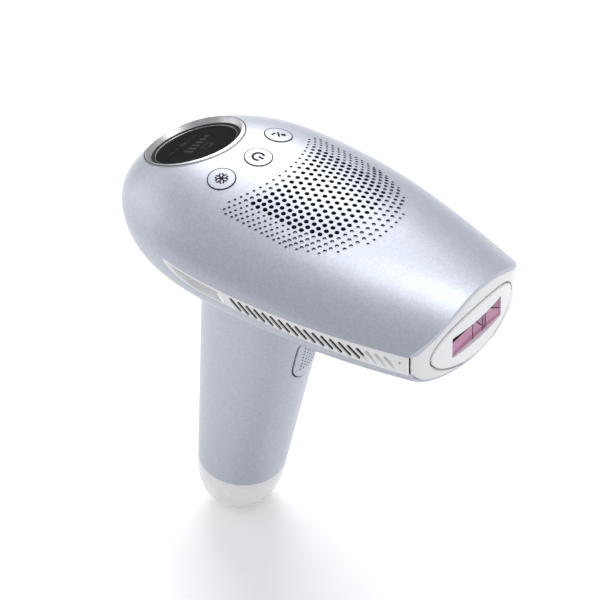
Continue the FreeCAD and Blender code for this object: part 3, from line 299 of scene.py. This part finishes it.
def turned_ring(name, centre, up, profile, body, material, steps=96):
    """Ring about an axis: the profile lists (radius, height) pairs in order round its section."""
    side = up.orthogonal().normalized()
    other = up.cross(side)
    verts = []
    for i in range(steps):
        swing = 2 * math.pi * i / steps
        out = side * math.cos(swing) + other * math.sin(swing)
        verts += [centre + out * radius + up * height for radius, height in profile]
    count = len(profile)
    faces = []
    for i in range(steps):
        a = count * i
        b = count * ((i + 1) % steps)
        faces += [(a + k, a + (k + 1) % count, b + (k + 1) % count, b + k) for k in range(count)]
    return new_piece(name, verts, faces, body, material)


# ---------------------------------------------------------------- key symbols and painted shade in the key gaps
KEY_RADIUS = 5.35 * MM
KEY_EDGE = 1.0 * MM             # depth of the key's face below its highest point
SYMBOL_STROKES = {"cool": 0.62 * MM, "power": 0.95 * MM, "level": 0.8 * MM}
SYMBOL_LIFT = 0.09 * MM
SINK = 0.05 * MM                # how far strokes reach into the skin under them
# Painted shade in the gap round each key: a dark sleeve standing where the key's wall is in shade.
GAP_SHADE_GAPS = (0.02 * MM, 0.45 * MM)    # from the key's edge, inside and outside
GAP_SHADE_TOP = 0.08 * MM          # under the key's edge
GAP_SHADE_HEIGHT = 1.0 * MM
GAP_SHADE_STEPS = 72


def key_frame(joint, node):
    """Middle of a key's face, with forward, left and outward directions on it."""
    press = next(j for j in frame["joints"] if j["name"] == joint)
    out = -Vector(press["axis"]).normalized()
    points = [v.co for v in frame["nodes"][node].data.vertices]
    top = max(p.dot(out) for p in points)
    rim = [p for p in points if p.dot(out) > top - KEY_EDGE]
    low = Vector([min(p[k] for p in rim) for k in range(3)])
    high = Vector([max(p[k] for p in rim) for k in range(3)])
    forward = (Vector((1, 0, 0)) - out * out.x).normalized()
    return (low + high) / 2, forward, out.cross(forward), out


def arc(radius, start, end, steps=24):
    """Points (forward, left) of an arc about a key's middle, in degrees from forward."""
    swings = [math.radians(start + (end - start) * i / steps) for i in range(steps + 1)]
    return [(radius * math.cos(swing), radius * math.sin(swing)) for swing in swings]


# The three symbols are lists of strokes, in millimetres forward and left of the key's middle.
def snowflake():
    stem, fork, tip, spread_angle = 1.75, 1.65, 2.75, 0.36
    strokes = []
    for arm in range(6):
        turn = math.radians(40 + 60 * arm)

        def place(radius, swing):
            return radius * math.cos(turn + swing), radius * math.sin(turn + swing)

        strokes.append([(0, 0), place(stem, 0)])
        strokes.append([place(tip, spread_angle), place(fork, 0), place(tip, -spread_angle)])
    return strokes


def power_sign():
    return [arc(2.3, 48, 312), [(0.0, 0.0), (2.5, 0.0)]]


def plus_minus():
    along, across = 1.55, 1.3
    arm = 1.05
    return [[(-along, -across - arm), (-along, -across + arm)],
            [(-1.25, 1.3), (1.25, -1.3)],
            [(along - arm, across), (along + arm, across)],
            [(along, across - arm), (along, across + arm)]]


def key_details():
    for key, strokes in (("cool", snowflake()), ("power", power_sign()), ("level", plus_minus())):
        body = key + "_key"
        node = key + "_button"
        middle, forward, left, out = key_frame(key + "_press", node)
        skin = Skin(node)
        paths = [[middle + (forward * f + left * l) * MM for f, l in stroke] for stroke in strokes]
        ribbons(key + "_symbol", skin, -out, paths, SYMBOL_STROKES[key], SYMBOL_LIFT, SINK,
                body, FINISHES["ink_and_painted_shade"])
        # painted shade: dark sleeve in the gap round the key
        gap_shade(key, middle, forward, left, out, skin)


def gap_shade(key, middle, forward, left, out, skin):
    """Painted shade: a dark sleeve in the gap round a key, a little under its edge."""
    verts = []
    faces = []
    inner, outer = GAP_SHADE_GAPS
    for i in range(GAP_SHADE_STEPS):
        swing = 2 * math.pi * i / GAP_SHADE_STEPS
        side = forward * math.cos(swing) + left * math.sin(swing)
        edge, _ = skin.drop(middle + side * (KEY_RADIUS - 0.3 * MM), -out)
        level = (edge - middle).dot(out) - GAP_SHADE_TOP
        for gap, height in ((inner, 0), (outer, 0), (outer, -GAP_SHADE_HEIGHT), (inner, -GAP_SHADE_HEIGHT)):
            verts.append(middle + side * (KEY_RADIUS + gap) + out * (level + height))
        a = 4 * i
        b = 4 * ((i + 1) % GAP_SHADE_STEPS)
        faces += [(a + k, a + (k + 1) % 4, b + (k + 1) % 4, b + k) for k in range(4)]
    new_piece(key + "_gasket", verts, faces, "handpiece", FINISHES["ink_and_painted_shade"])


# ---------------------------------------------------------------- vent holes
ROWS = 18
FIRST_ROW = -19.2 * MM          # from the fan's axis, as all rows are
ROW_PITCH = 2.9 * MM
ROW_ARC = 46.3 * MM             # radius of each row
ROW_HALF_WIDTH = 30.8 * MM
PER_SIDE = 12
ROW_SPREAD = 1.49
FIELD_RADIUS = 31.2 * MM
FIELD_REAR = -27.7 * MM
OPEN_ROWS = (2, 13)
OPEN_HALF_WIDTH = 22.4 * MM
OPEN_CENTRE = 2.0 * MM
OPEN_LENGTH = 22.5 * MM
HOLE_RADIUS = 1.0 * MM
DIMPLE_RADIUS = 0.85 * MM
EDGE_DIMPLE_RADIUS = 0.6 * MM
DIMPLE_DEPTH = 0.66 * MM
# Dark sleeves of painted shade inside the vent holes and dimples:
HOLE_SHADE_DEPTH = 2.2 * MM
HOLE_SHADE_WALL = 0.04 * MM
HOLE_SHADE_TOP = 0.08 * MM
HOLE_SHADE_STEPS = 16
MOUTH_MARGIN = 0.25 * MM        # round a hole's mouth, where its skin is measured


def row_places(row):
    """Places of one row of vent holes, forward of the fan's axis and to the left."""
    stagger = 0.5 * (row % 2)
    places = []
    for k in range(PER_SIDE + 1):
        share = (k + stagger) / (PER_SIDE + stagger)
        left = ROW_HALF_WIDTH * share * (ROW_SPREAD - (ROW_SPREAD - 1) * share)
        ahead = FIRST_ROW + ROW_PITCH * row - ROW_ARC + math.sqrt(ROW_ARC ** 2 - left ** 2)
        if ahead > FIELD_REAR and not (ahead > 0 and math.hypot(ahead, left) > FIELD_RADIUS):
            places += [(ahead, left), (ahead, -left)] if left > 0 else [(ahead, left)]
    return places


def vent_holes():
    """Place, radius and depth of every vent hole and blind dimple."""
    holes = []
    for row in range(ROWS):
        places = row_places(row)
        edge = max(abs(left) for _, left in places) - 0.1 * MM
        for ahead, left in places:
            inside = math.hypot(max(0.0, ahead - OPEN_CENTRE) / OPEN_LENGTH, left / OPEN_HALF_WIDTH) < 1
            beside = ahead < OPEN_CENTRE and abs(left) > OPEN_HALF_WIDTH
            if inside and OPEN_ROWS[0] <= row <= OPEN_ROWS[1]:
                holes.append((ahead, left, HOLE_RADIUS, HOLE_SHADE_DEPTH))
            elif row in (0, ROWS - 1) or abs(left) > edge or beside:
                holes.append((ahead, left, EDGE_DIMPLE_RADIUS, DIMPLE_DEPTH))
            else:
                holes.append((ahead, left, DIMPLE_RADIUS, DIMPLE_DEPTH))
    return holes


def vent_hole_shade():
    """Painted shade: a dark sleeve on the wall inside each hole and dimple of the vent field."""
    low, high = (Vector(corner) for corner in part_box("fan_rotor"))
    axis = (low + high) / 2
    skin = Skin("top_shell")
    down = Vector((0, 0, -1))
    verts = []
    faces = []
    for ahead, left, radius, depth in vent_holes():
        top = Vector((axis.x + ahead, left, high.z + 20 * MM))
        reach = radius + MOUTH_MARGIN
        front, rear, port, starboard = (skin.drop(top + Vector((x, y, 0)) * reach, down)[0]
                                        for x, y in ((1, 0), (-1, 0), (0, 1), (0, -1)))
        mouth = (front + rear + port + starboard) / 4
        normal = (front - rear).cross(port - starboard).normalized()
        side = (front - rear).normalized()
        other = normal.cross(side)
        first = len(verts)
        for i in range(HOLE_SHADE_STEPS):
            swing = 2 * math.pi * i / HOLE_SHADE_STEPS
            wall = mouth + (side * math.cos(swing) + other * math.sin(swing)) * (radius - HOLE_SHADE_WALL)
            verts += [wall - normal * HOLE_SHADE_TOP, wall - normal * depth]
        for i in range(HOLE_SHADE_STEPS):
            a = first + 2 * i
            b = first + 2 * ((i + 1) % HOLE_SHADE_STEPS)
            faces.append((a, b, b + 1, a + 1))
    new_piece("vent_hole_shade", verts, faces, "handpiece", FINISHES["hole_shade_grey"])


# ---------------------------------------------------------------- display
DISPLAY_TILT = math.radians(-19.9)
GLASS_THICKNESS = 1.6 * MM
# Painted shade: a dark cone in the gap between the polished ring and the recessed cover.
DISPLAY_SHADE_PROFILE = ((17.2, 0.0), (17.2, 0.08), (18.5, 0.5), (18.6, 0.0))    # radius and height, mm
EDGE_PROFILE = ((16.9, 0.0), (17.0, 0.12), (17.15, 0.16), (17.2, 0.0))
BEZEL_CREST = 21.05 * MM
BEZEL_INSIDE = 18.4             # mm, where the search for the ring's crest starts
CREST_LAND = 0.75               # a flatter skin than this belongs to the land outside the crest
FINE_LIFT = 0.02 * MM


def scaled(profile):
    return [(radius * MM, height * MM) for radius, height in profile]


def turned_path(centre, forward, left, radius, start, end, steps):
    """Places on an arc about a centre, in degrees from forward; the radius is a number or a function."""
    places = []
    for k in range(steps + 1):
        swing = math.radians(start + (end - start) * k / steps)
        out = forward * math.cos(swing) + left * math.sin(swing)
        places.append(centre + out * (radius(out) if callable(radius) else radius))
    return places


def display_details():
    """Painted shade in the gap round the cover, a dark metal edge round it, painted shade lines along the polished
    ring, and the idle picture.
    """
    up = Vector((math.sin(DISPLAY_TILT), 0, math.cos(DISPLAY_TILT)))
    forward = Vector((math.cos(DISPLAY_TILT), 0, -math.sin(DISPLAY_TILT)))
    left = Vector((0, 1, 0))
    low, high = (Vector(corner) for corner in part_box("display_window"))
    centre = (low + high) / 2 + up * GLASS_THICKNESS / 2
    # painted shade in the gap round the cover
    turned_ring("display_gap_shade", centre, up, scaled(DISPLAY_SHADE_PROFILE),
                "handpiece", FINISHES["ink_and_painted_shade"])
    turned_ring("display_edge", centre, up, scaled(EDGE_PROFILE),
                "handpiece", FINISHES["edge_grey"])
    bezel = Skin("display_bezel")

    def crest_radius(out):
        """Where the ring's inner slope meets the land outside it."""
        for i in range(58):
            radius = (BEZEL_INSIDE + 0.05 * i) * MM
            if bezel.drop(centre + out * radius, -up)[1].dot(up) > CREST_LAND:
                return radius
        return BEZEL_CREST

    # painted shade: dark lines along the ring's outer edge all round, and along its crest at the rear
    rim = turned_path(centre, forward, left, BEZEL_CREST, 0, 360, 120)
    ribbons("bezel_rim_shade", bezel, -up, [rim], 0.45 * MM, FINE_LIFT, SINK,
            "handpiece", FINISHES["edge_shade_grey"])
    rear_crest = turned_path(centre, forward, left, crest_radius, 80, 280, 60)
    ribbons("bezel_crest_shade", bezel, -up, [rear_crest], 0.4 * MM, FINE_LIFT, SINK,
            "handpiece", FINISHES["edge_shade_grey"])
    display_marks(centre, up, forward, left)


def display_marks(centre, up, forward, left):
    """Dim idle picture: six bars, an outline digit, a small flake and four dashes."""
    skin = Skin("display_window")

    def stroke(*places):
        return [centre + (forward * f - left * s) * MM for f, s in places]

    bars = [stroke((-2.0, -7.5 + 2.6 * i), (0.5 + 0.5 * i, -7.5 + 2.6 * i)) for i in range(6)]
    ribbons("display_bars", skin, -up, bars, 1.5 * MM, FINE_LIFT, SINK,
            "handpiece", FINISHES["display_marks"])
    digit = [stroke((7.5, -2.2), (7.5, 2.2), (4.4, 2.2)), stroke((4.4, 2.2), (4.4, -2.2), (7.5, -2.2))]
    flake = []
    for k in range(3):
        f = 1.9 * math.cos(math.pi * k / 3)
        s = 1.9 * math.sin(math.pi * k / 3)
        flake.append(stroke((-7 + f, s), (-7 - f, -s)))
    dashes = [stroke((-7.0, s), (-7.0, s + 2.4)) for s in (-8.0, -4.8, 3.4, 6.6)]
    ribbons("display_signs", skin, -up, digit + flake + dashes, 0.5 * MM, FINE_LIFT, SINK,
            "handpiece", FINISHES["display_marks"])


# ---------------------------------------------------------------- window and nose
WINDOW_HALF_WIDTH = 16.5 * MM
WINDOW_HALF_HEIGHT = 4.75 * MM
PANE_LIFT = 0.01 * MM
# Painted shade in the groove round the contact plate and in the seams behind the lamp cap:
GROOVE_SHADE_INSET = 0.17 * MM          # from the contact plate's edge to the middle of its groove
SEAM_SHADE_OFFSET = 0.04 * MM           # in front of the strip's end
SEAM_DEPTH = 0.9 * MM           # under the strip's outer face


def window_details():
    """Joints of the tinted window, painted shade on some of its facets and a painted shadow along its top."""
    low, high = (Vector(corner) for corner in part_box("filter_glass"))
    middle = (low + high) / 2
    skin = Skin("filter_glass")
    face = high.x

    def place(share, height):
        """A place on the window: share of its width from its right end, height from -1 to 1."""
        return Vector((face, WINDOW_HALF_WIDTH * (2 * share - 1), middle.z + WINDOW_HALF_HEIGHT * height))

    inward = Vector((-1, 0, 0))
    joints = [[place(0.44, 1), place(0.44, -1)], [place(0.645, 1), place(0.645, -1)],
              [place(0.70, 1), place(0.70, -1)], [place(0.45, 0.95), place(0.62, -0.45)],
              [place(0.71, 0.95), place(0.985, -0.25)]]
    ribbons("window_joints", skin, inward, joints, 0.55 * MM, 0.03 * MM, SINK,
            "cartridge", FINISHES["joint_plum"])
    # Darker rose panes: painted shade on the facets that lie in shade behind the glass.
    facets = [[(0.45, 0.9), (0.62, -0.45), (0.645, -0.6), (0.645, 0.95)],
              [(0.71, 0.85), (0.98, -0.3), (0.98, 0.95), (0.71, 0.95)],
              [(0.645, -1.0), (0.70, -1.0), (0.70, 1.0), (0.645, 1.0)]]
    # Painted shadow along the top of the window.
    painted_shadows = [[(0.0, 0.38), (0.43, 0.50), (0.43, 0.62), (0.0, 0.84)]]
    for name, panes, finish in (("facets", facets, "facet_shade_rose"), ("top_painted_shadow", painted_shadows, "painted_shadow_plum")):
        lift = Vector((PANE_LIFT, 0, 0))
        verts = [place(share, height) + lift for pane in panes for share, height in pane]
        faces = [tuple(range(4 * k, 4 * k + 4)) for k in range(len(panes))]
        new_piece("window_" + name, verts, faces, "cartridge", FINISHES[finish])


def nose_details():
    """Painted shade: dark sheets in the groove round the contact plate, and in each seam behind the lamp cap."""
    low, high = (Vector(corner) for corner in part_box("contact_plate"))
    middle = (low + high) / 2
    half_wide = (high.y - low.y) / 2 + GROOVE_SHADE_INSET
    half_high = (high.z - low.z) / 2 + GROOVE_SHADE_INSET
    oval = []
    for k in range(121):
        swing = math.pi * k / 60
        oval.append(Vector((high.x, half_wide * math.cos(swing), middle.z + half_high * math.sin(swing))))
    # painted shade in the groove round the contact plate
    ribbons("plate_groove_shade", Skin("lamp_cap"), Vector((-1, 0, 0)), [oval], 0.2 * MM, FINE_LIFT, SINK,
            "cartridge", FINISHES["groove_shade_grey"])
    # painted shade: a dark sheet in each seam behind the lamp cap
    for side in ("left", "right"):
        node = "side_strip_" + side
        mesh = frame["nodes"][node].data
        front = max(v.co.x for v in mesh.vertices)
        verts = []
        faces = []
        for face in mesh.polygons:
            corners = [mesh.vertices[k].co for k in face.vertices]
            if min(corner.x for corner in corners) > front - 0.05 * MM:
                faces.append(tuple(range(len(verts), len(verts) + len(corners))))
                for corner in corners:
                    inward = -math.copysign(SEAM_DEPTH, corner.y)
                    verts.append(corner + Vector((SEAM_SHADE_OFFSET, inward, 0)))
        new_piece("seam_shade_" + side, verts, faces, "handpiece", FINISHES["ink_and_painted_shade"])


# ---------------------------------------------------------------- badge plates
BEVEL_FOOT = (0.5 * MM, 0.3 * MM)       # from the plate's front end and lower edge
BEVEL_RUN = (2.5 * MM, 3.2 * MM)        # rearward and upward
BEVEL_WIDTH = 0.7 * MM


def badge_details():
    """Painted highlight: a bright metal strip along the slanted front edge of each badge plate, where its bevel
    catches the light.
    """
    for side in ("left", "right"):
        node = "badge_plate_" + side
        low, high = (Vector(corner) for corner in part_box(node))
        outward = Vector((0, 1 if high.y > 0 else -1, 0))
        flank = high.y if high.y > 0 else low.y
        foot = Vector((high.x - BEVEL_FOOT[0], flank, low.z + BEVEL_FOOT[1]))
        head = foot + Vector((-BEVEL_RUN[0], 0, BEVEL_RUN[1]))
        ribbons("badge_glint_" + side, Skin(node), -outward, [[head, foot]], BEVEL_WIDTH, FINE_LIFT, SINK,
                "handpiece", FINISHES["bevel_glint_metal"])


key_details()
vent_hole_shade()
display_details()
window_details()
nose_details()
badge_details()


# ---------------------------------------------------------------- camera, floor and light
def photographic_camera():
    """Long lens above and to the right of the nose; azimuth is from the right side towards the front."""
    target = Vector((0.042898, -0.008439, 0.129059))
    distance = 1.16441
    azimuth, elevation, roll = (math.radians(v) for v in (37.634, 38.035, -1.309))
    back = Vector((math.sin(azimuth) * math.cos(elevation),
                   -math.cos(azimuth) * math.cos(elevation), math.sin(elevation)))
    flat_right = Vector((math.cos(azimuth), math.sin(azimuth), 0))
    flat_up = back.cross(flat_right)
    right = flat_right * math.cos(roll) + flat_up * math.sin(roll)
    up = flat_up * math.cos(roll) - flat_right * math.sin(roll)
    camera = bpy.data.objects.new("camera", bpy.data.cameras.new("camera"))
    camera.data.sensor_width = 36.0
    camera.data.lens = 176.0
    camera.data.clip_start = 0.05
    camera.data.clip_end = 50.0
    turn = Matrix((right, up, back)).transposed().to_4x4()
    camera.matrix_world = Matrix.Translation(target + back * distance) @ turn
    bpy.context.scene.collection.objects.link(camera)
    bpy.context.scene.camera = camera


def softbox(name, place, aim, width, height, power):
    lamp = bpy.data.lights.new(name, "AREA")
    lamp.shape = "RECTANGLE"
    lamp.size = width
    lamp.size_y = height
    lamp.energy = power
    holder = bpy.data.objects.new(name, lamp)
    holder.location = place
    holder.rotation_mode = "QUATERNION"
    holder.rotation_quaternion = (Vector(aim) - Vector(place)).to_track_quat("-Z", "Y")
    bpy.context.scene.collection.objects.link(holder)


FLOOR_REACH = 6.0
FLOOR_GAP = 0.0004


def pale_floor():
    level = cad_box[0][2] - FLOOR_GAP
    mesh = bpy.data.meshes.new("floor")
    signs = ((-1, -1), (1, -1), (1, 1), (-1, 1))
    corners = [(x * FLOOR_REACH, y * FLOOR_REACH, level) for x, y in signs]
    mesh.from_pydata(corners, [], [(0, 1, 2, 3)])
    floor = bpy.data.objects.new("floor", mesh)
    bpy.context.scene.collection.objects.link(floor)
    paper = plastic("floor_paper", (0.90, 0.90, 0.90), (0.92, 0.92, 0.92), 0.9, 200.0,
                    Emission_Color=(1, 1, 1, 1), Emission_Strength=0.12)
    mesh.materials.append(paper)


def studio():
    """Pale surround and four large soft lamps."""
    world = bpy.data.worlds.new("studio")
    world.use_nodes = True
    background = world.node_tree.nodes["Background"]
    background.inputs["Color"].default_value = (0.95, 0.965, 1.0, 1)
    background.inputs["Strength"].default_value = 0.67
    bpy.context.scene.world = world
    middle = (0.04, 0, 0.12)
    softbox("back", (-0.58, 0.70, 0.87), middle, 0.65, 0.65, 7.0)
    softbox("overhead", (0.14, 0.24, 1.25), middle, 0.55, 0.55, 4.2)
    softbox("rim", (-1.1, -0.3, 0.45), middle, 0.9, 0.9, 2.5)
    softbox("front", (1.1, -0.3, 0.6), middle, 0.6, 0.6, 1.5)
    bpy.context.scene.view_settings.view_transform = "Standard"


photographic_camera()
pale_floor()
studio()
